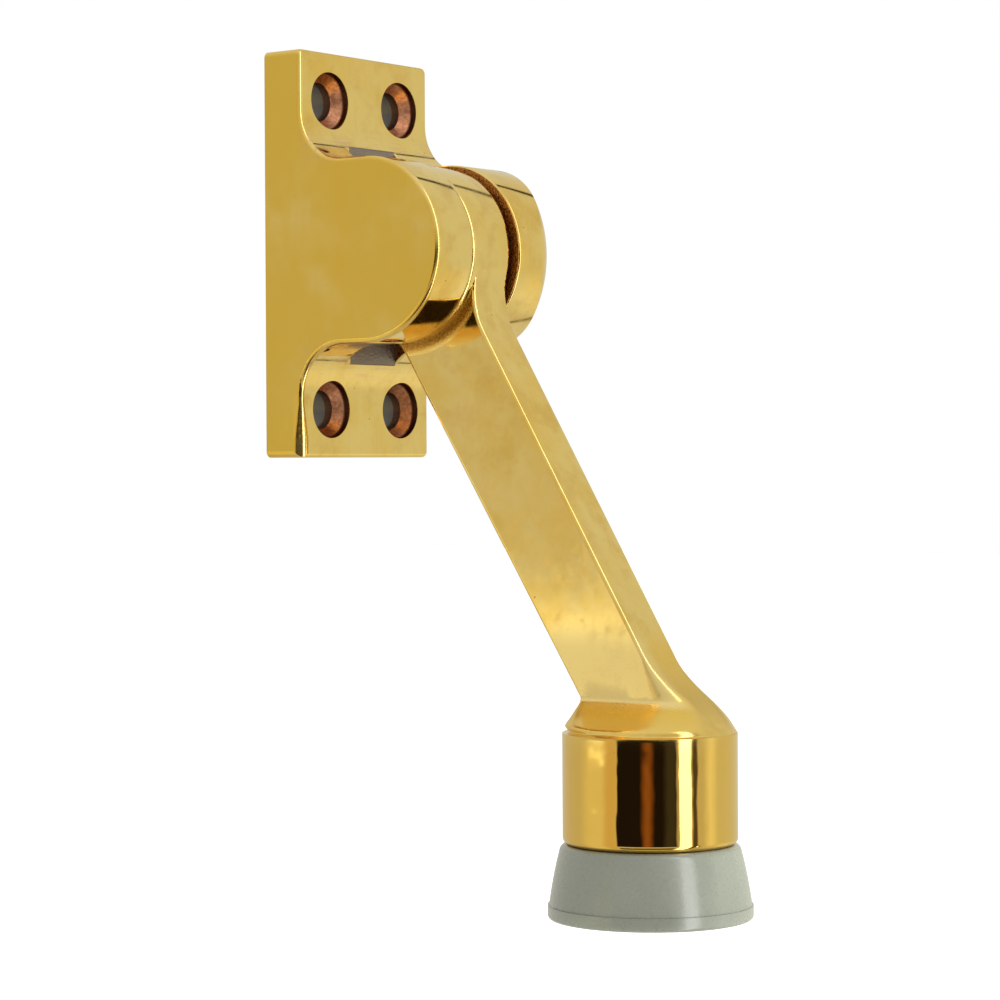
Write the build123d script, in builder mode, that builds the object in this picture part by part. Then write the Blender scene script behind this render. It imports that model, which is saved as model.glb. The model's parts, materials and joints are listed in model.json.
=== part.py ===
"""Kick-down floor door holder: bracket, swinging arm, pivot and rubber foot.

Frame: X runs across the bracket, the door face is the plane Y = 0 with the
object towards -Y, Z is up, and the origin is the centre of the bracket's back.
The pivot axis runs along X at Z = 0. All sizes are in millimetres.
"""
from math import cos, radians, tan
import os

from build123d import *

# Bracket
PLATE_WIDTH = 31.75
PLATE_HEIGHT = 63.5
PLATE_THICKNESS = 7.2
PLATE_CORNER_RADIUS = 1.0
RIM_RADIUS = 0.7
PIVOT_OUT = 20.0
CHEEK_RADIUS = 14.3
COVE_RADIUS = 8.0
CROWN_RADIUS = 6.0
CROWN_SHIFT = 5.0

# Rounder edge worn into the left of the lower flange, fading out towards the cove
WORN_RADIUS = 1.7
WORN_FADE_START = -29.0
WORN_END = -21.0
WORN_END_RADIUS = 0.3
WORN_MARGIN = 3.0

# Slot for the arm, sunk a little into the plate so that the bar can swing up
SLOT_LEFT = -6.4
SLOT_RIGHT = 4.75
SLOT_RADIUS = 14.2
SLOT_BACK = 9.3
SLOT_HEIGHT = 60.0
SLOT_EDGE_RADIUS = 0.4
SLOT_ROLL_RADIUS = 1.3

# Countersunk screw holes for #8 flat heads, two above and two below the pivot
HOLE_SPACING_X = 17.2
HOLE_SPACING_Z = 48.4
HOLE_RADIUS = 3.0
SEAT_RADIUS = 4.5
SEAT_DEPTH = 1.0
SEAT_ANGLE = 90.0

# Pivot pin, pressed in from the right-hand cheek, blind in the left-hand one
PIN_RADIUS = 3.175
PIN_LEFT = -12.0
PIN_CHAMFER = 0.4
RUNNING_CLEARANCE = 0.05

# Arm casting: knuckle and bar
KNUCKLE_RADIUS = 13.65
KNUCKLE_RIM_RADIUS = 0.8
BAR_LEFT = -5.1
BAR_RIGHT = 3.6
BAR_LEAN = 31.8
BAR_HALF_TAPER = 0.66
BAR_FRONT = 5.95
BAR_BACK = 9.2
BAR_LEFT_EDGE_RADIUS = 0.55
BAR_RIGHT_EDGE_RADIUS = 1.1
FRONT_NECK_RADIUS = 12.0
BACK_NECK_RADIUS = 7.0

# Arm casting: cup, and the shoulder that swells from the bar to the cup. The front and
# right sides swell all the way down, the left and back ones only near the cup.
CUP_X = -1.0
CUP_OUT = 62.2
CUP_RADIUS = 13.05
CUP_TOP = -72.8
CUP_BOTTOM = -89.3
CUP_EDGE_RADIUS = 1.0
SHOULDER_TOP = -61.5
SHOULDER_RADIUS = 12.85
SHOULDER_SECTIONS = 12
REAR_SWELL_START = 0.56
REAR_SWELL_POWER = 1.3
FRONT_SWELL_POWER = 2.1
FRONT_CORNER_POWER = 0.6
BACK_CORNER_POWER = 1.5
ROUND_SLACK = 0.05

# Friction pack, in a recess of the knuckle facing the right-hand cheek
RECESS_DEPTH = 2.4
RECESS_RADIUS = 9.0
WASHER_THICKNESS = 1.0
WASHER_RADIUS = 8.6
SPRING_RADIUS = 8.4
SPRING_THICKNESS = 0.6
PACK_BORE_RADIUS = 3.4

# Rubber foot
FOOT_BOTTOM = -100.4
FOOT_TOP_RADIUS = 13.3
FOOT_SIDE_BULGE = 0.15
FOOT_SKIRT_RADIUS = 15.1
FOOT_LIP_RADIUS = 15.3
FOOT_LIP_HEIGHT = 2.1
FOOT_SHOULDER_RADIUS = 1.1
FOOT_EDGE_RADIUS = 0.6
SPIGOT_RADIUS = 9.4
SPIGOT_HEIGHT = 5.6
SPIGOT_CLEARANCE = 0.1
WELL_RADIUS = 4.8
WELL_DEPTH = 7.0

# Foot screw, #8 pan head, and its washer
FOOT_WASHER_RADIUS = 4.4
FOOT_WASHER_THICKNESS = 0.8
SCREW_RADIUS = 2.08
SCREW_CLEARANCE = 0.06
SCREW_LENGTH = 18.0
SCREW_HEAD_RADIUS = 3.7
SCREW_HEAD_HEIGHT = 2.6
SCREW_HEAD_EDGE_RADIUS = 1.1
DRIVE_SLOT_WIDTH = 1.1
DRIVE_SLOT_DEPTH = 1.2

HALF_WIDTH = PLATE_WIDTH / 2
HALF_HEIGHT = PLATE_HEIGHT / 2
WELL_TOP = FOOT_BOTTOM + WELL_DEPTH
TOLERANCE = 0.01

# Section planes whose local x is a radius: about the pivot axis and the cup's axis
PIVOT_SECTION = Plane(origin=(0, -PIVOT_OUT, 0), x_dir=(1, 0, 0), z_dir=(0, -1, 0))
CUP_SECTION = Plane(origin=(CUP_X, -CUP_OUT, 0), x_dir=(1, 0, 0), z_dir=(0, -1, 0))
CROWN_SECTION = Plane(origin=(0, -PIVOT_OUT + CROWN_SHIFT, 0), x_dir=(1, 0, 0), z_dir=(0, -1, 0))
PIVOT_AXIS = Axis((0, -PIVOT_OUT, 0), (1, 0, 0))
CROWN_AXIS = Axis((0, -PIVOT_OUT + CROWN_SHIFT, 0), (1, 0, 0))
CUP_AXIS = Axis((CUP_X, -CUP_OUT, 0), (0, 0, 1))


def pivot_plane(x):
    """Plane across the pivot axis at X = x: local x is +Y, local y is +Z."""
    return Plane(origin=(x, -PIVOT_OUT, 0), x_dir=(0, 1, 0), z_dir=(1, 0, 0))


def edges_at_x(part, x):
    """Edges that lie in the plane X = x."""
    return part.edges().filter_by(lambda edge: abs(edge.center().X - x) < TOLERANCE)


def worn_section(height, radius):
    """What a round of this radius takes off the plate's left front edge at a height."""
    left = -HALF_WIDTH
    front = -PLATE_THICKNESS
    with BuildSketch(Plane.XY.offset(height)) as section:
        with BuildLine():
            CenterArc((left + radius, front + radius), radius, 180, 90)
            Polyline(
                (left + radius, front),
                (left + radius, front - WORN_MARGIN),
                (left - WORN_MARGIN, front - WORN_MARGIN),
                (left - WORN_MARGIN, front + radius),
                (left, front + radius),
            )
        make_face()
    return section.sketch.face()


def make_bracket():
    """Plate with two D-shaped cheeks, coved into the plate, and the arm's slot."""
    front = -PLATE_THICKNESS
    cove_front = front - COVE_RADIUS
    cove_end = CHEEK_RADIUS + COVE_RADIUS
    with BuildPart() as bracket:
        with BuildSketch(Plane.YZ.offset(-HALF_WIDTH)):
            with BuildLine():
                Line((0, -HALF_HEIGHT), (0, HALF_HEIGHT))
                Line((0, HALF_HEIGHT), (front, HALF_HEIGHT))
                Line((front, HALF_HEIGHT), (front, cove_end))
                CenterArc((cove_front, cove_end), COVE_RADIUS, 270, 90)
                Line((cove_front, CHEEK_RADIUS), (-PIVOT_OUT, CHEEK_RADIUS))
                CenterArc((-PIVOT_OUT, 0), CHEEK_RADIUS, 90, 180)
                Line((-PIVOT_OUT, -CHEEK_RADIUS), (cove_front, -CHEEK_RADIUS))
                CenterArc((cove_front, -cove_end), COVE_RADIUS, 0, 90)
                Line((front, -cove_end), (front, -HALF_HEIGHT))
                Line((front, -HALF_HEIGHT), (0, -HALF_HEIGHT))
            make_face()
        extrude(amount=PLATE_WIDTH)
        plate_ends = bracket.faces().filter_by(Axis.Z).filter_by(lambda f: f.center().Y > front)
        fillet(plate_ends.edges().filter_by(Axis.Y), radius=PLATE_CORNER_RADIUS)
        rims = edges_at_x(bracket, HALF_WIDTH) + edges_at_x(bracket, -HALF_WIDTH)
        fillet(rims.filter_by(lambda edge: edge.center().Y < front + TOLERANCE), radius=RIM_RADIUS)
        low_end = -HALF_HEIGHT - WORN_MARGIN
        loft(
            sections=[
                worn_section(low_end, WORN_RADIUS),
                worn_section(WORN_FADE_START, WORN_RADIUS),
                worn_section(WORN_END, WORN_END_RADIUS),
            ],
            ruled=True,
            mode=Mode.SUBTRACT,
        )
        crown_outer = CHEEK_RADIUS + CROWN_SHIFT
        crown_start = HALF_WIDTH - CROWN_RADIUS
        with BuildSketch(CROWN_SECTION):
            with BuildLine():
                CenterArc((crown_start, crown_outer - CROWN_RADIUS), CROWN_RADIUS, 0, 90)
                Polyline(
                    (HALF_WIDTH, crown_outer - CROWN_RADIUS),
                    (HALF_WIDTH + CROWN_SHIFT, crown_outer - CROWN_RADIUS),
                    (HALF_WIDTH + CROWN_SHIFT, crown_outer + CROWN_SHIFT),
                    (crown_start, crown_outer + CROWN_SHIFT),
                    (crown_start, crown_outer),
                )
            make_face()
        revolve(axis=CROWN_AXIS, revolution_arc=180, mode=Mode.SUBTRACT)
        with BuildSketch(pivot_plane(SLOT_LEFT)):
            Circle(SLOT_RADIUS)
            with Locations((PIVOT_OUT - SLOT_BACK, 0)):
                Rectangle(PLATE_HEIGHT, SLOT_HEIGHT, align=(Align.MAX, Align.CENTER))
        extrude(amount=SLOT_RIGHT - SLOT_LEFT, mode=Mode.SUBTRACT)
        left_rims = edges_at_x(bracket, SLOT_LEFT)
        fillet(left_rims.filter_by(lambda e: e.center().Y < -PIVOT_OUT), radius=SLOT_ROLL_RADIUS)
        right_rims = edges_at_x(bracket, SLOT_RIGHT)
        fillet(right_rims.filter_by(lambda e: e.center().Y < -PIVOT_OUT), radius=SLOT_EDGE_RADIUS)
        with BuildSketch(Plane.XZ.offset(PLATE_THICKNESS)):
            with GridLocations(HOLE_SPACING_X, HOLE_SPACING_Z, 2, 2):
                Circle(SEAT_RADIUS)
        extrude(amount=-SEAT_DEPTH, mode=Mode.SUBTRACT)
        with Locations(Plane.XZ.offset(PLATE_THICKNESS - SEAT_DEPTH)):
            with GridLocations(HOLE_SPACING_X, HOLE_SPACING_Z, 2, 2):
                CounterSinkHole(HOLE_RADIUS, SEAT_RADIUS, counter_sink_angle=SEAT_ANGLE)
        with BuildSketch(pivot_plane(PIN_LEFT)):
            Circle(PIN_RADIUS)
        extrude(amount=HALF_WIDTH - PIN_LEFT, mode=Mode.SUBTRACT)
    return bracket


def front_and_back(height):
    """Y of the bar's front and back faces at a height."""
    front_angle = radians(BAR_LEAN - BAR_HALF_TAPER)
    back_angle = radians(BAR_LEAN + BAR_HALF_TAPER)
    front = -PIVOT_OUT + height * tan(front_angle) - BAR_FRONT / cos(front_angle)
    back = -PIVOT_OUT + height * tan(back_angle) + BAR_BACK / cos(back_angle)
    return front, back


def blend(start, end, share):
    """Value between start and end."""
    return start + (end - start) * share


def shoulder_section(travel):
    """Level section of the shoulder: the bar's at travel 0, just inside the cup's circle at travel 1."""
    height = blend(SHOULDER_TOP, CUP_TOP, travel)
    front, back = front_and_back(height)
    front_share = travel**FRONT_SWELL_POWER
    rear_travel = max(0.0, travel - REAR_SWELL_START) / (1 - REAR_SWELL_START)
    rear_share = rear_travel**REAR_SWELL_POWER
    left = blend(BAR_LEFT, CUP_X - SHOULDER_RADIUS, rear_share)
    right = blend(BAR_RIGHT, CUP_X + SHOULDER_RADIUS, front_share)
    front = blend(front, -CUP_OUT - SHOULDER_RADIUS, front_share)
    back = blend(back, -CUP_OUT + SHOULDER_RADIUS, rear_share)
    half_x = (right - left) / 2 - ROUND_SLACK
    half_y = (back - front) / 2 - ROUND_SLACK
    at_front = front_share**FRONT_CORNER_POWER
    at_back = rear_share**BACK_CORNER_POWER
    left_y = BAR_LEFT_EDGE_RADIUS / cos(radians(BAR_LEAN))
    right_y = BAR_RIGHT_EDGE_RADIUS / cos(radians(BAR_LEAN))
    fl_x, fl_y = blend(BAR_LEFT_EDGE_RADIUS, half_x, at_front), blend(left_y, half_y, at_front)
    fr_x, fr_y = blend(BAR_RIGHT_EDGE_RADIUS, half_x, at_front), blend(right_y, half_y, at_front)
    bl_x, bl_y = blend(BAR_LEFT_EDGE_RADIUS, half_x, at_back), blend(left_y, half_y, at_back)
    br_x, br_y = blend(BAR_RIGHT_EDGE_RADIUS, half_x, at_back), blend(right_y, half_y, at_back)
    with BuildSketch(Plane.XY.offset(height)) as section:
        with BuildLine():
            Line((left, back - bl_y), (left, front + fl_y))
            EllipticalCenterArc((left + fl_x, front + fl_y), fl_x, fl_y, 180)
            Line((left + fl_x, front), (right - fr_x, front))
            EllipticalCenterArc((right - fr_x, front + fr_y), fr_x, fr_y, 270)
            Line((right, front + fr_y), (right, back - br_y))
            EllipticalCenterArc((right - br_x, back - br_y), br_x, br_y, 0)
            Line((right - br_x, back), (left + bl_x, back))
            EllipticalCenterArc((left + bl_x, back - bl_y), bl_x, bl_y, 90)
        make_face()
    return section.sketch.face()


def above_shoulder(edge):
    """True for an edge that is not on the bar's lower end."""
    return edge.center().Z > SHOULDER_TOP + TOLERANCE


def necks_of(profile):
    """Sharp corners where the bar's outline leaves the knuckle's circle, below the pivot."""
    pivot = Vector(-PIVOT_OUT, 0)
    return profile.vertices().filter_by(
        lambda v: abs((Vector(v.X, v.Y) - pivot).length - KNUCKLE_RADIUS) < TOLERANCE
        and v.Y < -TOLERANCE
    )


def make_arm():
    """Knuckle disc, leaning bar, swelling shoulder and turned cup as one casting."""
    top_front, top_back = front_and_back(0)
    low_front, low_back = front_and_back(SHOULDER_TOP)
    with BuildPart() as arm:
        with BuildSketch(Plane.YZ.offset(BAR_LEFT)) as profile:
            Polygon(
                (top_front, 0),
                (top_back, 0),
                (low_back, SHOULDER_TOP),
                (low_front, SHOULDER_TOP),
                align=None,
            )
            with Locations((-PIVOT_OUT, 0)):
                Circle(KNUCKLE_RADIUS)
            fillet(necks_of(profile).sort_by(Axis.X)[0], radius=FRONT_NECK_RADIUS)
            fillet(necks_of(profile).sort_by(Axis.X)[-1], radius=BACK_NECK_RADIUS)
        extrude(amount=BAR_RIGHT - BAR_LEFT)
        left_rims = edges_at_x(arm, BAR_LEFT)
        right_rims = edges_at_x(arm, BAR_RIGHT)
        fillet(left_rims.filter_by(above_shoulder), radius=BAR_LEFT_EDGE_RADIUS)
        fillet(right_rims.filter_by(above_shoulder), radius=BAR_RIGHT_EDGE_RADIUS)
        with BuildSketch(pivot_plane(SLOT_LEFT)):
            Circle(KNUCKLE_RADIUS)
        extrude(amount=BAR_LEFT + BAR_LEFT_EDGE_RADIUS - SLOT_LEFT)
        fillet(edges_at_x(arm, SLOT_LEFT), radius=KNUCKLE_RIM_RADIUS)
        bar_end = arm.faces().sort_by(Axis.Z)[0]
        travels = [step / SHOULDER_SECTIONS for step in range(1, SHOULDER_SECTIONS + 1)]
        loft(sections=[bar_end] + [shoulder_section(travel) for travel in travels])
        with BuildSketch(Plane(origin=(CUP_X, -CUP_OUT, CUP_TOP))):
            Circle(CUP_RADIUS)
        extrude(amount=CUP_BOTTOM - CUP_TOP)
        fillet(arm.edges().sort_by(Axis.Z)[0], radius=CUP_EDGE_RADIUS)
        with BuildSketch(pivot_plane(SLOT_LEFT)):
            Circle(PIN_RADIUS + RUNNING_CLEARANCE)
        extrude(amount=BAR_RIGHT - SLOT_LEFT, mode=Mode.SUBTRACT)
        with BuildSketch(pivot_plane(BAR_RIGHT)):
            Circle(RECESS_RADIUS)
        extrude(amount=-RECESS_DEPTH, mode=Mode.SUBTRACT)
        with BuildSketch(Plane(origin=(CUP_X, -CUP_OUT, CUP_BOTTOM))):
            Circle(SPIGOT_RADIUS + SPIGOT_CLEARANCE)
        extrude(amount=SPIGOT_HEIGHT, mode=Mode.SUBTRACT)
        with BuildSketch(Plane(origin=(CUP_X, -CUP_OUT, WELL_TOP))):
            Circle(SCREW_RADIUS + SCREW_CLEARANCE)
        extrude(amount=SCREW_LENGTH, mode=Mode.SUBTRACT)
    return arm


def make_pivot_pin():
    """Plain pin, chamfered at its leading end and flush with the right-hand cheek."""
    with BuildPart() as pivot_pin:
        with BuildSketch(pivot_plane(PIN_LEFT)):
            Circle(PIN_RADIUS)
        extrude(amount=HALF_WIDTH - PIN_LEFT)
        chamfer(edges_at_x(pivot_pin, PIN_LEFT), length=PIN_CHAMFER)
    return pivot_pin


def make_friction_washer(left):
    """Flat washer on the floor of the knuckle's recess."""
    with BuildPart() as friction_washer:
        with BuildSketch(pivot_plane(left)):
            Circle(WASHER_RADIUS)
            Circle(PACK_BORE_RADIUS, mode=Mode.SUBTRACT)
        extrude(amount=WASHER_THICKNESS)
    return friction_washer


def make_disc_spring(rim_x, bore_x):
    """Coned disc spring, from the edge of its rim at one X to the edge of its bore at another."""
    thickness = SPRING_THICKNESS if bore_x > rim_x else -SPRING_THICKNESS
    with BuildPart() as disc_spring:
        with BuildSketch(PIVOT_SECTION):
            with BuildLine():
                Polyline(
                    (rim_x, SPRING_RADIUS),
                    (rim_x + thickness, SPRING_RADIUS),
                    (bore_x, PACK_BORE_RADIUS),
                    (bore_x - thickness, PACK_BORE_RADIUS),
                    (rim_x, SPRING_RADIUS),
                )
            make_face()
        revolve(axis=PIVOT_AXIS)
    return disc_spring


def make_rubber_foot():
    """Tapered buffer with a lip at the floor, a spigot for the cup and a well for the screw."""
    lip_top = FOOT_BOTTOM + FOOT_LIP_HEIGHT
    side_middle = (FOOT_SKIRT_RADIUS + FOOT_TOP_RADIUS) / 2 + FOOT_SIDE_BULGE
    with BuildPart() as rubber_foot:
        with BuildSketch(CUP_SECTION) as half_foot:
            with BuildLine():
                Polyline(
                    (SCREW_RADIUS + SCREW_CLEARANCE, WELL_TOP),
                    (WELL_RADIUS, WELL_TOP),
                    (WELL_RADIUS, FOOT_BOTTOM),
                    (FOOT_LIP_RADIUS, FOOT_BOTTOM),
                    (FOOT_LIP_RADIUS, lip_top),
                    (FOOT_SKIRT_RADIUS, lip_top),
                )
                ThreePointArc(
                    (FOOT_SKIRT_RADIUS, lip_top),
                    (side_middle, (lip_top + CUP_BOTTOM) / 2),
                    (FOOT_TOP_RADIUS, CUP_BOTTOM),
                )
                Polyline(
                    (FOOT_TOP_RADIUS, CUP_BOTTOM),
                    (SPIGOT_RADIUS, CUP_BOTTOM),
                    (SPIGOT_RADIUS, CUP_BOTTOM + SPIGOT_HEIGHT),
                    (SCREW_RADIUS + SCREW_CLEARANCE, CUP_BOTTOM + SPIGOT_HEIGHT),
                    (SCREW_RADIUS + SCREW_CLEARANCE, WELL_TOP),
                )
            make_face()
            shoulder = half_foot.vertices().filter_by(
                lambda v: abs(v.X - FOOT_TOP_RADIUS) < TOLERANCE
            )
            fillet(shoulder, radius=FOOT_SHOULDER_RADIUS)
            fillet(
                half_foot.vertices().filter_by(
                    lambda v: abs(v.X - FOOT_LIP_RADIUS) < TOLERANCE and v.Y < FOOT_BOTTOM + TOLERANCE
                ),
                radius=FOOT_EDGE_RADIUS,
            )
        revolve(axis=CUP_AXIS)
    return rubber_foot


def make_foot_washer():
    """Flat washer in the well of the foot, under the screw's head."""
    with BuildPart() as foot_washer:
        with BuildSketch(Plane(origin=(CUP_X, -CUP_OUT, WELL_TOP))):
            Circle(FOOT_WASHER_RADIUS)
            Circle(SCREW_RADIUS + SCREW_CLEARANCE, mode=Mode.SUBTRACT)
        extrude(amount=-FOOT_WASHER_THICKNESS)
    return foot_washer


def make_foot_screw():
    """Slotted pan-head screw, driven up through the foot into the cup."""
    head_top = WELL_TOP - FOOT_WASHER_THICKNESS
    head_bottom = head_top - SCREW_HEAD_HEIGHT
    with BuildPart() as foot_screw:
        with BuildSketch(Plane(origin=(CUP_X, -CUP_OUT, head_bottom))):
            Circle(SCREW_HEAD_RADIUS)
        extrude(amount=SCREW_HEAD_HEIGHT)
        fillet(foot_screw.edges().sort_by(Axis.Z)[0], radius=SCREW_HEAD_EDGE_RADIUS)
        with BuildSketch(Plane(origin=(CUP_X, -CUP_OUT, head_top))):
            Circle(SCREW_RADIUS)
        extrude(amount=SCREW_LENGTH)
        with BuildSketch(Plane(origin=(CUP_X, -CUP_OUT, head_bottom))):
            Rectangle(DRIVE_SLOT_WIDTH, 2 * SCREW_HEAD_RADIUS)
        extrude(amount=DRIVE_SLOT_DEPTH, mode=Mode.SUBTRACT)
    return foot_screw


washer_left = BAR_RIGHT - RECESS_DEPTH
spring_left = washer_left + WASHER_THICKNESS
spring_middle = (spring_left + SLOT_RIGHT) / 2

pieces = {
    "bracket": make_bracket(),
    "arm": make_arm(),
    "pivot_pin": make_pivot_pin(),
    "friction_washer": make_friction_washer(washer_left),
    "disc_spring_inner": make_disc_spring(spring_left, spring_middle),
    "disc_spring_outer": make_disc_spring(SLOT_RIGHT, spring_middle),
    "rubber_foot": make_rubber_foot(),
    "foot_washer": make_foot_washer(),
    "foot_screw": make_foot_screw(),
}

os.makedirs("parts", exist_ok=True)
for node, piece in pieces.items():
    piece.part.label = node
    export_step(piece.part, f"parts/{node}.step")
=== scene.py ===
import json
import math
import random

import bmesh
import bpy
from mathutils import Matrix, Vector


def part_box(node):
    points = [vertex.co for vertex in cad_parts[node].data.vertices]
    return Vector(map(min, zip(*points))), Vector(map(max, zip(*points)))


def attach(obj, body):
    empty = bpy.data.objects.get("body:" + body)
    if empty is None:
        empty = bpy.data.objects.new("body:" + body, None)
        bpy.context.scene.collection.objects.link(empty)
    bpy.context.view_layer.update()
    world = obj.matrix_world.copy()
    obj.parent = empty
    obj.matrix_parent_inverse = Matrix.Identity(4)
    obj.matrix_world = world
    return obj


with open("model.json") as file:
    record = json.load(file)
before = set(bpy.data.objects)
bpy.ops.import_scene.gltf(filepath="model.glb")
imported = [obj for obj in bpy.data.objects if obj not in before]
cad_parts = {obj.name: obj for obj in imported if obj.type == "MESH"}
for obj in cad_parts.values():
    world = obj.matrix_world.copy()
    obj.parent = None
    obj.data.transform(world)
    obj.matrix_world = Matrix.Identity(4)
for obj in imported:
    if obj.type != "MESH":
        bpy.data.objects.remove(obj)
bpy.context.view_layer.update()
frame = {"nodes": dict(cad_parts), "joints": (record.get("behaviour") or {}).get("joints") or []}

MM = 0.001
PER_METRE = 1000.0
WHITE = (1.0, 1.0, 1.0, 1.0)

# ---------------------------------------------------------------- layout

PIVOT = Vector(frame["joints"][0]["pos_m"])
FOOT_LOW, FOOT_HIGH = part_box("rubber_foot")
FOOT_AXIS = (FOOT_LOW + FOOT_HIGH) / 2

# Places on the castings that are finished differently or painted with shade, in millimetres from the
# origin.
# A pair holds the two limits of a region, or the two ends of a fade.
SCREW_X = 8.6
SCREW_Z = 24.2
SEAT_RADIUS = 4.55
SEAT_EDGE = (SEAT_RADIUS - 0.03, SEAT_RADIUS + 0.03)
SEAT_DEPTH = (-7.12, -0.2)
SEAT_WALL = (4.3, 4.3 + 0.12)
HOLE_RADIUS = 3.0
HOLE_EDGE = (HOLE_RADIUS + 0.01, HOLE_RADIUS + 0.05)
HOLE_DEEP = (-3.3 - 0.1, -3.3 + 0.1)
PLATE_FRONT = -7.2
LEFT_FACE = (-15.86, -15.70)
RIGHT_FACE = (15.0, 15.4)
BACK_FACE = (-0.06, -0.02)
NEAR_DOOR = (-9.0, -0.5)
COVE_Z = (13.8, 19.0)
COVE_Y = (-15.0, -7.6)
RIM_X = (-15.83, -15.10)
RIM_FRONT = (-7.3, -7.1)
WORN_INNER = (-14.17 - 0.1, -14.17 + 0.1)
WORN_Y = (PLATE_FRONT - 0.1, -5.5)
WORN_TOP = (-21.0 - 1.5, -21.0)
SLOT_LEFT = -6.45
SLOT_X = (SLOT_LEFT, 4.80)
SLOT_BACK = -9.2
SLOT_END = (SLOT_BACK, SLOT_BACK + 0.1)
SLOT_FLOOR_END = (SLOT_BACK - 0.5, SLOT_BACK - 0.3)
SLOT_ROLL = (-7.8, SLOT_LEFT)
GROOVE_X = (-6.75, -6.40)
GROOVE_FRONT = (-13.0, -11.0)
CHEEK_MIDDLE = 11.1
CHEEK_FRONT = (-17.0, -13.0)
PIVOT_OUT = -20.0
PIN_RADIUS = 3.175
PIN_RING = (PIN_RADIUS - 0.07, PIN_RADIUS + 0.09)

KNUCKLE_MIDDLE = -1.4
KNUCKLE_LEFT = (-6.36, -6.30)
KNUCKLE_RIGHT = (1.0, 1.1)
KNUCKLE_FLAT = (12.7, 12.7 + 0.3)
KNUCKLE_ROUND = (13.9, 15.5)
CORNER_RING = (13.2, 15.6)
CORNER_X = (-6.9, -5.0)
CORNER_TOP = (-9.0, -6.5)
CUP_TOP = -72.8
CUP_EDGE = (CUP_TOP - 0.4, CUP_TOP + 0.4)
LEDGE_Z = (-72.6, -70.4)
LEDGE_TOP = (-68.7 - 0.5, -68.7 + 0.5)
FLARE_Z = (CUP_TOP + 0.5, -58.5)
FLARE_FRONT = (-5.0, -1.0)

# Camera: where it stands around the pivot, and how the frame is composed
VIEW_AZIMUTH = math.radians(37.019)
VIEW_PITCH = math.radians(0.704)
VIEW_ROLL = math.radians(-0.279)
VIEW_DISTANCE = 478.134 * MM
VIEW_RIGHT = 11.193 * MM
VIEW_DOWN = 38.486 * MM
LENS = 109.786
SENSOR = 36.0


def make_camera():
    """Camera that looks along +X and +Y at the holder, nearly level."""
    forward = Vector((
        math.cos(VIEW_AZIMUTH) * math.cos(VIEW_PITCH),
        math.sin(VIEW_AZIMUTH) * math.cos(VIEW_PITCH),
        -math.sin(VIEW_PITCH),
    ))
    level_right = Vector((math.sin(VIEW_AZIMUTH), -math.cos(VIEW_AZIMUTH), 0))
    level_up = level_right.cross(forward)
    right = math.cos(VIEW_ROLL) * level_right + math.sin(VIEW_ROLL) * level_up
    up = math.cos(VIEW_ROLL) * level_up - math.sin(VIEW_ROLL) * level_right
    turn = Matrix((right, up, -forward)).transposed()
    place = PIVOT + VIEW_RIGHT * right - VIEW_DOWN * up - VIEW_DISTANCE * forward
    data = bpy.data.cameras.new("camera")
    data.lens = LENS
    data.sensor_width = SENSOR
    data.clip_start = 10 * MM
    camera = bpy.data.objects.new("camera", data)
    camera.matrix_world = Matrix.Translation(place) @ turn.to_4x4()
    bpy.context.scene.collection.objects.link(camera)
    bpy.context.scene.camera = camera


# ---------------------------------------------------------------- node helpers


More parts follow.
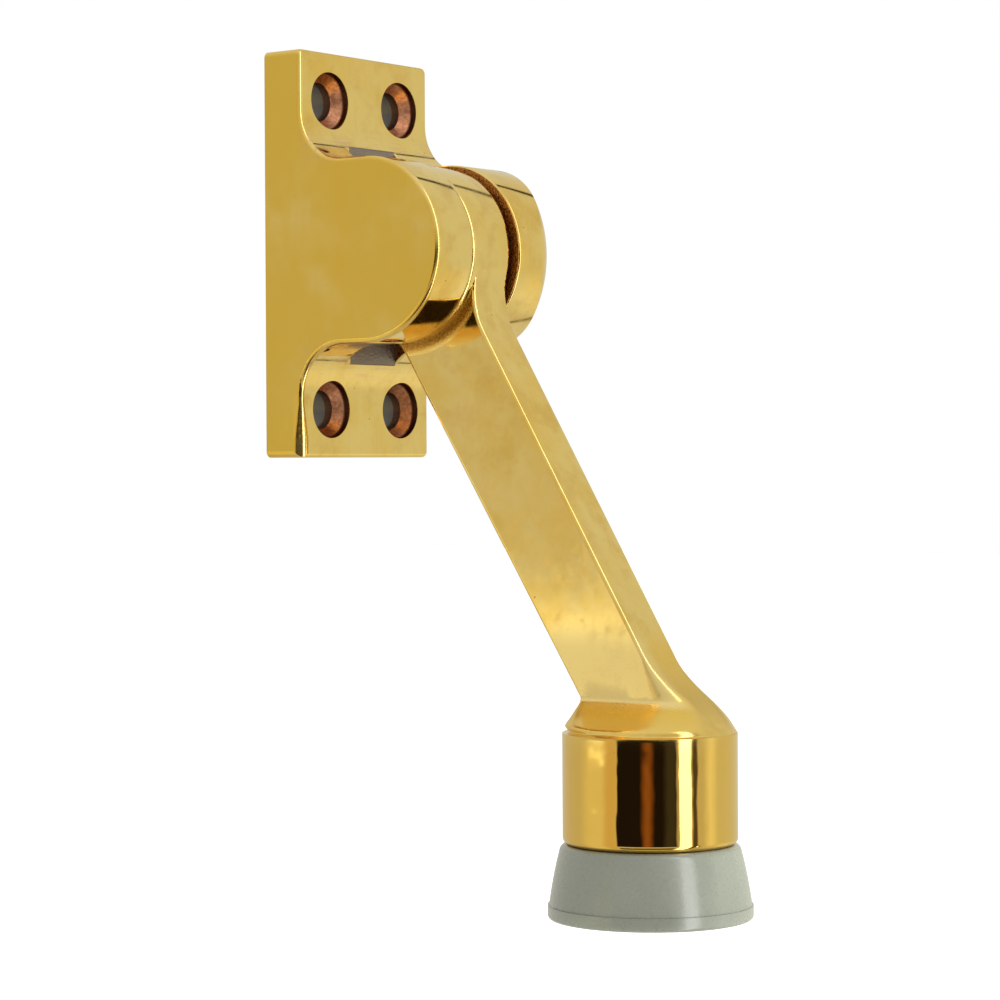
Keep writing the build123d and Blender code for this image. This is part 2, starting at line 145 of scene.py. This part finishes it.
class Nodes:
    """Short calls for building one node tree."""

    def __init__(self, tree):
        self.tree = tree
        tree.nodes.clear()

    def put(self, node, name, value):
        socket = node.inputs[name]
        if isinstance(value, bpy.types.NodeSocket):
            self.tree.links.new(value, socket)
        else:
            socket.default_value = value

    def add(self, kind, **inputs):
        node = self.tree.nodes.new(kind)
        for name, value in inputs.items():
            self.put(node, name.replace("_", " "), value)
        return node

    def math(self, operation, a, b=0.0):
        node = self.tree.nodes.new("ShaderNodeMath")
        node.operation = operation
        self.put(node, 0, a)
        self.put(node, 1, b)
        return node.outputs[0]

    def size(self, value):
        return self.math("ABSOLUTE", value)

    def plus(self, *values):
        total = values[0]
        for value in values[1:]:
            total = self.math("ADD", total, value)
        return total

    def minus(self, a, b):
        return self.math("SUBTRACT", a, b)

    def times(self, *values):
        product = values[0]
        for value in values[1:]:
            product = self.math("MULTIPLY", product, value)
        return product

    def invert(self, value):
        return self.minus(1.0, value)

    def ramp(self, value, low, high):
        """0 below low, 1 above high, smooth between."""
        node = self.tree.nodes.new("ShaderNodeMapRange")
        node.interpolation_type = "SMOOTHSTEP"
        self.put(node, "Value", value)
        self.put(node, "From Min", low)
        self.put(node, "From Max", high)
        return node.outputs["Result"]

    def fade(self, value, low, high):
        """1 below low, 0 above high, smooth between."""
        return self.invert(self.ramp(value, low, high))

    def level(self, value, low, high):
        """Straight map of 0 to 1 onto low to high."""
        return self.plus(self.times(value, high - low), low)

    def band(self, value, low, high, soft):
        """1 between low and high, with soft edges."""
        enter = self.ramp(value, low - soft, low + soft)
        return self.times(enter, self.fade(value, high - soft, high + soft))

    def mix(self, factor, a, b):
        node = self.tree.nodes.new("ShaderNodeMix")
        node.data_type = "RGBA"
        self.put(node, 0, factor)
        self.put(node, 6, a)
        self.put(node, 7, b)
        return node.outputs[2]

    def blend(self, factor, a, b):
        """Number between a and b."""
        return self.plus(self.times(a, self.invert(factor)), self.times(factor, b))

    def paint(self, color, *coats):
        """Colour under a row of coats, each a mask, its strength and its own colour."""
        for mask, strength, coat in coats:
            color = self.mix(self.times(mask, strength), color, coat)
        return color

    def dull(self, rough, *coats):
        """Roughness under a row of coats, each a mask, its strength and its own roughness."""
        for mask, strength, coat in coats:
            rough = self.blend(self.times(mask, strength), rough, coat)
        return rough

    def split(self, vector):
        return self.add("ShaderNodeSeparateXYZ", Vector=vector).outputs[:3]

    def place(self):
        """Position on the object in millimetres."""
        node = self.tree.nodes.new("ShaderNodeVectorMath")
        node.operation = "SCALE"
        self.put(node, 0, self.tree.nodes.new("ShaderNodeTexCoord").outputs["Object"])
        self.put(node, "Scale", PER_METRE)
        return node.outputs[0]

    def stretch(self, vector, x, y, z):
        node = self.tree.nodes.new("ShaderNodeVectorMath")
        node.operation = "MULTIPLY"
        self.put(node, 0, vector)
        self.put(node, 1, (x, y, z))
        return node.outputs[0]

    def noise(self, vector, scale, detail=2.0, roughness=0.5):
        node = self.add(
            "ShaderNodeTexNoise", Vector=vector, Scale=scale, Detail=detail, Roughness=roughness
        )
        return node.outputs["Fac"]

    def patches(self, vector, pattern):
        """Mask from one of the noise patterns below."""
        scale, detail, roughness, low, high = pattern
        return self.ramp(self.noise(vector, scale, detail, roughness), low, high)

    def cells(self, vector, scale):
        """Distance to the nearest scattered point."""
        node = self.add("ShaderNodeTexVoronoi", Vector=vector, Scale=scale)
        return node.outputs["Distance"]

    def radius(self, a, b):
        return self.math("SQRT", self.plus(self.times(a, a), self.times(b, b)))

    def bump(self, height, distance):
        node = self.add("ShaderNodeBump", Height=height, Distance=distance)
        return node.outputs["Normal"]


def new_material(name):
    material = bpy.data.materials.new(name)
    material.use_nodes = True
    return material, Nodes(material.node_tree)


def finish_shader(n, **inputs):
    shader = n.add("ShaderNodeBsdfPrincipled", **inputs)
    n.add("ShaderNodeOutputMaterial", Surface=shader.outputs[0])


# ---------------------------------------------------------------- brass

BRASS = (0.920, 0.680, 0.235, 1)
BRASS_LIT_PALE = (0.960, 0.760, 0.330, 1)
BRASS_WARM = (0.885, 0.585, 0.130, 1)
BRASS_DEEP = (0.850, 0.555, 0.085, 1)
BRASS_SMUDGE = (0.760, 0.470, 0.090, 1)
BRASS_CUP = (0.850, 0.555, 0.125, 1)
BRASS_TARNISH = (0.700, 0.410, 0.110, 1)
BRASS_PIT_AND_SHADE = (0.140, 0.065, 0.020, 1)
COPPER = (0.410, 0.165, 0.088, 1)
COPPER_DARK = (0.100, 0.036, 0.018, 1)
COPPER_BRIGHT = (0.640, 0.300, 0.165, 1)
PINK_CAST = (0.720, 0.450, 0.310, 1)
HOLE_DARK = (0.075, 0.036, 0.022, 1)
HOLE_GREY = (0.150, 0.135, 0.122, 1)
SLOT_DARK = (0.090, 0.030, 0.010, 1)
SLOT_BROWN = (0.520, 0.225, 0.065, 1)
SLOT_GLINT = (0.900, 0.520, 0.180, 1)
SLOT_FLOOR = (0.300, 0.255, 0.225, 1)
WASHER_BRONZE = (0.62, 0.38, 0.20, 1)
SPRING_STEEL = (0.42, 0.42, 0.43, 1)
SCREW_STEEL = (0.56, 0.56, 0.55, 1)
STEEL_DARK = (0.25, 0.24, 0.22, 1)

# Noise patterns: scale per millimetre, detail, roughness, and where the mask starts and is full
CLOUDS = (0.065, 4.0, 0.62, 0.40, 0.66)
VEIL = (0.21, 3.0, 0.60, 0.46, 0.70)
SMUDGE = (0.085, 5.0, 0.68, 0.53, 0.68)
MOTTLE = (0.42, 4.0, 0.65, 0.50, 0.74)
SMEARS = (0.9, 3.0, 0.60, 0.52, 0.78)
HAIRLINES = (7.0, 2.0, 0.50, 0.66, 0.74)
PITTED = (0.16, 2.0, 0.50, 0.52, 0.66)
CAST_LINES = (1.6, 3.0, 0.60, 0.50, 0.66)
DOOR_GRIME = (0.10, 3.0, 0.50, 0.40, 0.62)
LEFT_FACE_PATCHES = (0.055, 3.0, 0.60, 0.22, 0.52)
LEDGE_GRIME = (0.5, 3.0, 0.50, 0.42, 0.62)
FILM = (0.8, 4.0, 0.65, 0.30, 0.80)

PIT_SCALE = 0.55
PIT_EDGE = (0.045, 0.085)
SWELL_SCALE = 0.11
BRACKET_GRAIN = (1.0, 1.0, 0.09)
ARM_GRAIN = (1.0, 0.30, 0.12)

# Bumps: depth of one unit of height, and what a crowned face loses per square millimetre
BRASS_RELIEF = 0.03 * MM
TURNED_RELIEF = 0.004 * MM
CROWN_RATE = 0.30
TURNING_RATE = 11.0


def brass_skin(n, place, grain):
    """Hand-polished cast brass: clouds, smears, hairlines and rare pits."""
    along = n.stretch(place, *grain)
    veil = n.patches(place, VEIL)
    mottle = n.patches(place, MOTTLE)
    smears = n.patches(along, SMEARS)
    pits = n.times(n.fade(n.cells(place, PIT_SCALE), *PIT_EDGE), n.patches(place, PITTED))
    color = n.paint(
        BRASS,
        (n.patches(place, CLOUDS), 0.80, BRASS_WARM),
        (veil, 0.28, BRASS_TARNISH),
        (n.patches(place, SMUDGE), 0.42, BRASS_SMUDGE),
        (mottle, 0.13, BRASS_TARNISH),
        (smears, 0.12, BRASS_TARNISH),
        (pits, 0.75, BRASS_PIT_AND_SHADE),
    )
    rough = n.plus(n.times(mottle, 0.055), n.times(smears, 0.045), n.times(veil, 0.04))
    height = n.minus(n.noise(place, SWELL_SCALE, 1.0), n.times(n.patches(along, HAIRLINES), 0.010))
    return color, rough, n.minus(height, n.times(pits, 0.35))


def rough_bore(n, place):
    """Drilled copper-coloured metal under the screw heads, with a coarse grain."""
    grain = n.noise(place, 1.7, 4.0, 0.65)
    return n.mix(n.ramp(grain, 0.34, 0.66), COPPER, COPPER_BRIGHT), grain


def rough_slot(n, place):
    """Unpolished walls beside the knuckle: dark skin with orange high spots painted as glints."""
    grain = n.noise(place, 2.4, 5.0, 0.7)
    color = n.mix(n.ramp(grain, 0.32, 0.54), SLOT_DARK, SLOT_BROWN)
    # Painted highlight: the noise's peaks are painted as orange glints.
    return n.mix(n.ramp(grain, 0.57, 0.70), color, SLOT_GLINT), grain


def crown(n, face, across, middle):
    """What a face's bump loses to both sides of its middle, so that it reflects as if crowned."""
    off_middle = n.minus(across, middle)
    return n.times(face, off_middle, off_middle, CROWN_RATE)


def bracket_brass():
    """Polished brass with raw screw seats and slot, a ground back and worn edges, with painted shade in
    the seats, the holes and the gap beside the knuckle, and the holes' depths painted grey as a view of
    the backdrop.
    """
    material, n = new_material("bracket_brass")
    place = n.place()
    x, y, z = n.split(place)
    size_x, size_z = n.size(x), n.size(z)
    color, rough, height = brass_skin(n, place, BRACKET_GRAIN)
    bore, bore_grain = rough_bore(n, place)
    slot, slot_grain = rough_slot(n, place)

    from_screw = n.radius(n.minus(size_x, SCREW_X), n.minus(size_z, SCREW_Z))
    in_seat = n.times(n.fade(from_screw, *SEAT_EDGE), n.band(y, *SEAT_DEPTH, 0.04))
    hole = n.fade(from_screw, *HOLE_EDGE)
    # Painted shade: the seat's outer wall and the hole are painted dark, and the hole's far depth is
    # painted grey as a view of the backdrop through it.
    seat = n.paint(
        bore,
        (n.ramp(from_screw, *SEAT_WALL), 0.88, COPPER_DARK),
        (hole, 0.92, HOLE_DARK),
        (n.times(hole, n.ramp(y, *HOLE_DEEP)), 1.0, HOLE_GREY),
    )
    slot = n.mix(n.ramp(y, *SLOT_FLOOR_END), slot, SLOT_FLOOR)
    in_slot = n.times(n.band(x, *SLOT_X, 0.02), n.fade(y, *SLOT_END))

    cove = n.times(n.band(size_z, *COVE_Z, 1.2), n.band(y, *COVE_Y, 0.8))
    cast_cove = n.times(cove, n.patches(n.stretch(place, 0.12, 1.0, 1.0), CAST_LINES))
    near_door = n.times(n.ramp(y, *NEAR_DOOR), n.patches(place, DOOR_GRIME))
    # The left faces are painted a deeper gold in broad patches.
    left_faces_deepened = n.times(n.fade(x, *LEFT_FACE), n.patches(place, LEFT_FACE_PATCHES))
    pin_ring = n.band(n.radius(n.minus(y, PIVOT_OUT), z), *PIN_RING, 0.04)
    on_back = n.ramp(y, *BACK_FACE)
    ground = n.noise(n.stretch(place, 0.05, 1.0, 1.0), 5.5, 3.0, 0.6)
    groove = n.times(n.band(x, *GROOVE_X, 0.08), n.fade(y, *GROOVE_FRONT))
    left_rim = n.times(n.band(x, *RIM_X, 0.06), n.fade(y, *RIM_FRONT))
    worn = n.times(n.fade(x, *WORN_INNER), n.band(y, *WORN_Y, 0.10), n.fade(z, *WORN_TOP))

    color = n.paint(
        color,
        (near_door, 0.70, BRASS_DEEP),
        (left_faces_deepened, 0.92, BRASS_DEEP),
        (cast_cove, 0.50, PINK_CAST),
        (in_seat, 1.0, seat),
        (in_slot, 1.0, slot),
        (n.times(pin_ring, n.ramp(x, *RIGHT_FACE)), 0.8, BRASS_PIT_AND_SHADE),
        (n.times(on_back, n.ramp(ground, 0.40, 0.70)), 0.45, BRASS_TARNISH),
        # Painted shade: the cheek's rim beside the gap to the knuckle is painted near black as the
        # gap's shade.
        (groove, 0.85, BRASS_PIT_AND_SHADE),
    )
    rough = n.dull(
        n.plus(rough, 0.07),
        (cast_cove, 1.0, 0.20),
        (on_back, 1.0, 0.34),
        (left_rim, 0.8, 0.26),
        (worn, 0.8, 0.20),
        (n.band(x, *SLOT_ROLL, 0.10), 0.8, 0.20),
        (in_seat, 1.0, 0.38),
        (in_slot, 1.0, 0.36),
    )
    height = n.plus(
        height,
        n.times(in_seat, bore_grain, 1.5),
        n.times(in_slot, slot_grain, 4.0),
        n.times(on_back, ground, 1.6),
    )
    height = n.minus(height, crown(n, n.fade(y, *CHEEK_FRONT), size_x, CHEEK_MIDDLE))
    finish_shader(
        n, Base_Color=color, Metallic=1.0, Roughness=rough, Normal=n.bump(height, BRASS_RELIEF)
    )
    return material


def arm_brass():
    """Polished brass with raw knuckle sides, a brown corner below the knuckle, a bright cup, and a
    shoulder painted paler on the left and warmer at the front as painted light and shade.
    """
    material, n = new_material("arm_brass")
    place = n.place()
    x, y, z = n.split(place)
    color, rough, height = brass_skin(n, place, ARM_GRAIN)
    slot, grain = rough_slot(n, place)
    from_pivot = n.radius(n.minus(y, PIVOT_OUT), z)

    cup = n.fade(z, *CUP_EDGE)
    side = n.plus(n.fade(x, *KNUCKLE_LEFT), n.ramp(x, *KNUCKLE_RIGHT))
    raw = n.times(n.fade(from_pivot, *KNUCKLE_FLAT), side)
    corner = n.times(
        n.band(from_pivot, *CORNER_RING, 0.7), n.band(x, *CORNER_X, 0.12), n.fade(z, *CORNER_TOP)
    )
    browned = n.times(corner, n.level(n.ramp(grain, 0.40, 0.62), 0.25, 0.75))
    ledge = n.times(n.band(z, *LEDGE_Z, 0.7), n.patches(place, LEDGE_GRIME))
    flare = n.band(z, *FLARE_Z, 3.2)
    toward_front = n.ramp(x, *FLARE_FRONT)
    lit_left_flare = n.times(flare, n.invert(toward_front))

    color = n.paint(
        color,
        (cup, 0.85, BRASS_CUP),
        (browned, 1.0, BRASS_TARNISH),
        (ledge, 0.30, BRASS_TARNISH),
        (raw, 1.0, slot),
        # Painted light and shade on the shoulder: paler on its left side, deeper on the ledge there,
        # warmer toward the front.
        (lit_left_flare, 0.80, BRASS_LIT_PALE),
        (n.times(lit_left_flare, n.fade(z, *LEDGE_TOP)), 0.85, BRASS_DEEP),
        (n.times(flare, toward_front), 0.65, BRASS_WARM),
    )
    rough = n.dull(
        n.plus(n.times(rough, n.blend(cup, 1.0, 0.35)), n.blend(cup, 0.085, 0.030)),
        (flare, 0.85, 0.30),
        (corner, 1.0, 0.19),
        (raw, 1.0, 0.42),
    )
    height = n.plus(height, n.times(n.math("MAXIMUM", raw, corner), grain, 3.0))
    height = n.minus(height, crown(n, n.fade(from_pivot, *KNUCKLE_ROUND), x, KNUCKLE_MIDDLE))
    wobble = n.noise(n.stretch(place, 1.0, 1.0, 0.8), 0.17, 2.0)
    height = n.plus(height, n.times(cup, wobble, 2.6))
    finish_shader(
        n, Base_Color=color, Metallic=1.0, Roughness=rough, Normal=n.bump(height, BRASS_RELIEF)
    )
    return material


def turned_metal(name, color, dark, roughness, axis):
    """Small turned part with fine rings around its axis, and a dull film."""
    material, n = new_material(name)
    place = n.place()
    x, y, z = n.split(place)
    if axis == "X":
        from_axis = n.radius(n.minus(y, PIVOT_OUT), z)
    else:
        from_axis = n.radius(
            n.minus(x, FOOT_AXIS.x * PER_METRE), n.minus(y, FOOT_AXIS.y * PER_METRE)
        )
    rings = n.math("SINE", n.times(from_axis, TURNING_RATE))
    film = n.patches(place, FILM)
    finish_shader(
        n,
        Base_Color=n.paint(color, (film, 0.35, dark)),
        Metallic=1.0,
        Roughness=n.plus(n.times(film, 0.16), roughness),
        Normal=n.bump(n.plus(n.times(rings, 0.25), n.noise(place, 3.0, 3.0)), TURNED_RELIEF),
    )
    return material


# ---------------------------------------------------------------- rubber

RUBBER = (0.190, 0.207, 0.166, 1)
RUBBER_PALE = (0.228, 0.245, 0.203, 1)
RUBBER_FLASH_AND_LIGHT = (0.360, 0.370, 0.320, 1)
RUBBER_DIRT = (0.200, 0.185, 0.135, 1)
RUBBER_STAIN = (0.420, 0.440, 0.100, 1)
BLOOM = (0.14, 2.0, 0.40, 0.25, 0.75)
DUST = (1.6, 4.0, 0.70, 0.58, 0.78)
WEAR = (0.9, 4.0, 0.60, 0.20, 0.80)
LIP_TOP = (-100.3, -98.0)
STAIN_X = -9.5
STAIN_Z = -96.0
STAIN_EDGE = (0.2, 1.0)
STAIN_FRONT = (-83.0 + 4.0, -83.0 + 6.0)
RUBBER_RELIEF = 0.016 * MM


def grey_rubber(name, base, pale):
    """Moulded grey-green rubber with bloom, dust, a pale lip and a small yellow stain; the lip's
    paleness is partly its own tone and partly painted light against the shade under the flash.
    """
    material, n = new_material(name)
    place = n.place()
    x, y, z = n.split(place)
    from_stain = n.radius(n.minus(x, STAIN_X), n.minus(z, STAIN_Z))
    color = n.paint(
        base,
        (n.patches(place, BLOOM), 0.5, pale),
        (n.patches(place, DUST), 0.10, RUBBER_DIRT),
        # The lowest band is painted paler, partly its own tone and partly painted light over the
        # flash's shade.
        (n.fade(z, *LIP_TOP), 0.75, pale),
        (n.times(n.fade(from_stain, *STAIN_EDGE), n.fade(y, *STAIN_FRONT)), 0.6, RUBBER_STAIN),
    )
    rough = n.plus(n.times(n.patches(place, WEAR), 0.10), 0.24)
    height = n.plus(n.noise(place, 5.0, 3.0), n.times(n.noise(place, 0.6, 2.0), 2.0))
    finish_shader(
        n, Base_Color=color, Roughness=rough, Specular_IOR_Level=0.95, Coat_Weight=0.8,
        Coat_Roughness=0.16, Normal=n.bump(height, RUBBER_RELIEF)
    )
    return material


# ---------------------------------------------------------------- foot flash

FLASH_HEIGHT = 2.15 * MM
FLASH_INNER = 14.9 * MM
FLASH_OUTER = 15.2 * MM
FLASH_THICKNESS = 0.10 * MM
FLASH_STEPS = 240
FLASH_RAGGED = 0.05 * MM
FLASH_SEED = 7
FLASH_WAVES = (5, 9, 16, 31)
NIB_BEARING = math.radians(141.0)
NIB_WIDTH = math.radians(2.6)
NIB_REACH = 0.10 * MM

# Its cross-section from the inner top over the tip to the inner bottom: whether the point lies
# on the rim, how far it stands back from there and how high it lies, both in half thicknesses
FLASH_SECTION = ((False, 0, 1), (True, 0.6, 0.8), (True, 0, 0), (True, 0.6, -0.8), (False, 0, -1))


def make_flash(material):
    """Thin ragged skin left by the mould around the foot's lip, with one small nib."""
    ragged = random.Random(FLASH_SEED)
    waves = [
        (count, ragged.uniform(0, math.tau), ragged.uniform(0.3, 1.0)) for count in FLASH_WAVES
    ]
    total = sum(weight for _, _, weight in waves)
    centre = Vector((FOOT_AXIS.x, FOOT_AXIS.y, FOOT_LOW.z + FLASH_HEIGHT))
    work = bmesh.new()
    rings = []
    for step in range(FLASH_STEPS):
        bearing = math.tau * step / FLASH_STEPS
        wave = sum(weight * math.sin(count * bearing + phase) for count, phase, weight in waves) / total
        nib = math.exp(-((bearing - NIB_BEARING) / NIB_WIDTH) ** 2)
        outer = FLASH_OUTER - FLASH_RAGGED * (0.5 + 0.5 * wave) + (NIB_REACH - FLASH_RAGGED) * nib
        half = FLASH_THICKNESS * (0.5 + 0.2 * wave + 1.2 * nib)
        around = Vector((math.cos(bearing), math.sin(bearing), 0))
        rings.append([
            work.verts.new(
                centre + around * ((outer if on_rim else FLASH_INNER) - half * back)
                + Vector((0, 0, half * rise))
            )
            for on_rim, back, rise in FLASH_SECTION
        ])
    for here, there in zip(rings, rings[1:] + rings[:1]):
        for a in range(len(FLASH_SECTION)):
            b = (a + 1) % len(FLASH_SECTION)
            work.faces.new((here[a], there[a], there[b], here[b]))
    bmesh.ops.recalc_face_normals(work, faces=work.faces)
    data = bpy.data.meshes.new("foot_flash")
    work.to_mesh(data)
    work.free()
    for face in data.polygons:
        face.use_smooth = True
    data.materials.append(material)
    flash = bpy.data.objects.new("foot_flash", data)
    bpy.context.scene.collection.objects.link(flash)
    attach(flash, "arm")


# ---------------------------------------------------------------- studio

# Cards around the object: name, bearing, half width and how softly it ends, lowest and highest
# elevation and how softly they end, all in degrees, and the light it gives
CARDS = (
    ("left_window_low", 140.0, 22.0, 12.0, -45.0, -4.6, 0.8, (0.80, 0.76, 0.55, 1)),
    ("left_window", 144.0, 15.0, 10.0, -5.0, -3.3, 1.0, (2.00, 2.03, 1.88, 1)),
    ("left_warm_edge", 161.0, 9.0, 7.0, -50.0, 12.0, 8.0, (0.70, 0.56, 0.32, 1)),
    ("dark_flag", -151.0, 39.0, 1.2, -11.5, 4.5, 1.8, (0.014, 0.010, 0.010, 1)),
    ("dark_flag_side", -119.0, 7.5, 5.0, -11.5, 4.5, 1.8, (0.050, 0.045, 0.045, 1)),
    ("dark_table", -151.0, 39.0, 1.6, -48.0, -27.0, 3.0, (0.016, 0.012, 0.010, 1)),
    ("brown_reflector", -149.5, 5.6, 5.0, -8.6, -4.4, 0.9, (0.290, 0.105, 0.035, 1)),
    ("strip_light", -99.0, 8.4, 0.9, -50.0, 60.0, 8.0, (3.60, 3.60, 3.60, 1)),
    ("strip_frame", -85.0, 3.4, 1.6, -50.0, 40.0, 8.0, (0.100, 0.075, 0.060, 1)),
    ("right_softbox", -55.0, 11.0, 9.0, -32.0, 24.0, 9.0, (0.97, 0.95, 0.80, 1)),
    ("right_wall", -8.0, 44.0, 10.0, -44.0, 46.0, 8.0, (0.70, 0.70, 0.60, 1)),
    ("low_softbox", -24.0, 18.0, 9.0, -36.0, -14.0, 7.0, (0.86, 0.84, 0.70, 1)),
    ("tent_seam_above", 4.0, 2.0, 1.2, 20.0, 66.0, 7.0, (0.035, 0.028, 0.018, 1)),
    ("tent_seam_below", -2.0, 1.5, 1.2, -60.0, -24.0, 7.0, (0.120, 0.100, 0.070, 1)),
)
TENT_LOW = (0.56, 0.53, 0.44, 1)
TENT_MIDDLE = (0.635, 0.62, 0.55, 1)
TENT_HIGH = (0.80, 0.80, 0.77, 1)
TENT_BELOW = (-50.0, 0.0)
TENT_ABOVE = (0.0, 70.0)

PAPER_FIBRE = (0.4, 3.0, 0.50, 0.30, 0.70)
PAPER_DARK = (0.90, 0.90, 0.90, 1)
PAPER_LIGHT = (0.92, 0.92, 0.92, 1)
PAPER_GLOW = 0.45
FLOOR_REACH = 2.0
FLOOR_GAP = 0.5 * MM

KEY_ENERGY = 3.0
KEY_SIZE = 260 * MM
KEY_COLOR = (1.0, 0.99, 0.96)
KEY_BEARING = math.radians(-48.0)
KEY_RISE = 0.30
KEY_DISTANCE = 0.5


def make_world():
    """Pale tent with a strip light, softboxes and a dark side where the photographer stands."""
    world = bpy.data.worlds.new("studio")
    world.use_nodes = True
    n = Nodes(world.node_tree)
    direction = n.tree.nodes.new("ShaderNodeTexCoord").outputs["Generated"]
    x, y, z = n.split(direction)
    elevation = n.math("DEGREES", n.math("ARCSINE", z))
    light = n.mix(n.ramp(elevation, *TENT_BELOW), TENT_LOW, TENT_MIDDLE)
    light = n.mix(n.ramp(elevation, *TENT_ABOVE), light, TENT_HIGH)
    for _, bearing, half, edge, lowest, highest, rise, color in CARDS:
        turn = math.radians(bearing)
        ahead = n.plus(n.times(x, math.cos(turn)), n.times(y, math.sin(turn)))
        aside = n.minus(n.times(y, math.cos(turn)), n.times(x, math.sin(turn)))
        off = n.size(n.math("DEGREES", n.math("ARCTAN2", aside, ahead)))
        card = n.times(n.fade(off, half - edge, half + edge), n.band(elevation, lowest, highest, rise))
        light = n.mix(card, light, color)
    seen = n.tree.nodes.new("ShaderNodeLightPath").outputs["Is Camera Ray"]
    background = n.add("ShaderNodeBackground", Color=n.mix(seen, light, WHITE), Strength=1.0)
    n.add("ShaderNodeOutputWorld", Surface=background.outputs[0])
    bpy.context.scene.world = world


def make_floor():
    """Pale paper, low enough for the foot to pass over it at every angle of the arm."""
    material, n = new_material("floor_paper")
    tone = n.mix(n.patches(n.place(), PAPER_FIBRE), PAPER_DARK, PAPER_LIGHT)
    finish_shader(
        n, Base_Color=tone, Roughness=0.9, Emission_Color=WHITE, Emission_Strength=PAPER_GLOW
    )
    swing = math.hypot(FOOT_LOW.y - PIVOT.y, FOOT_LOW.z - PIVOT.z)
    z = PIVOT.z - swing - FLOOR_GAP
    data = bpy.data.meshes.new("floor")
    corners = [(x * FLOOR_REACH, y * FLOOR_REACH, z) for x, y in ((-1, -1), (1, -1), (1, 1), (-1, 1))]
    data.from_pydata(corners, [], [(0, 1, 2, 3)])
    data.materials.append(material)
    floor = bpy.data.objects.new("floor", data)
    bpy.context.scene.collection.objects.link(floor)
    floor.visible_glossy = False


def make_key():
    """Soft light from the right that shapes the rubber; the brass sees only the tent's cards."""
    data = bpy.data.lights.new("key", "AREA")
    data.energy = KEY_ENERGY
    data.size = KEY_SIZE
    data.color = KEY_COLOR
    key = bpy.data.objects.new("key", data)
    around = Vector((math.cos(KEY_BEARING), math.sin(KEY_BEARING), KEY_RISE))
    key.location = FOOT_AXIS + around * KEY_DISTANCE
    key.rotation_euler = (-around).to_track_quat("-Z", "Y").to_euler()
    key.visible_glossy = False
    bpy.context.scene.collection.objects.link(key)


def dress(material, *nodes):
    for node in nodes:
        for slot in frame["nodes"][node].material_slots:
            slot.material = material


bpy.context.scene.view_settings.view_transform = "Standard"
dress(bracket_brass(), "bracket")
dress(arm_brass(), "arm")
dress(grey_rubber("grey_rubber", RUBBER, RUBBER_PALE), "rubber_foot")
# The flash is painted paler still, partly its own tone and partly painted light over its shade.
make_flash(grey_rubber("pale_rubber", RUBBER_PALE, RUBBER_FLASH_AND_LIGHT))
dress(turned_metal("pin_brass", BRASS, BRASS_TARNISH, 0.16, "X"), "pivot_pin")
dress(turned_metal("washer_bronze", WASHER_BRONZE, COPPER_DARK, 0.28, "X"), "friction_washer")
spring = turned_metal("spring_steel", SPRING_STEEL, STEEL_DARK, 0.25, "X")
dress(spring, "disc_spring_inner", "disc_spring_outer")
screw = turned_metal("screw_steel", SCREW_STEEL, STEEL_DARK, 0.24, "Z")
dress(screw, "foot_screw", "foot_washer")
make_world()
make_key()
make_floor()
make_camera()
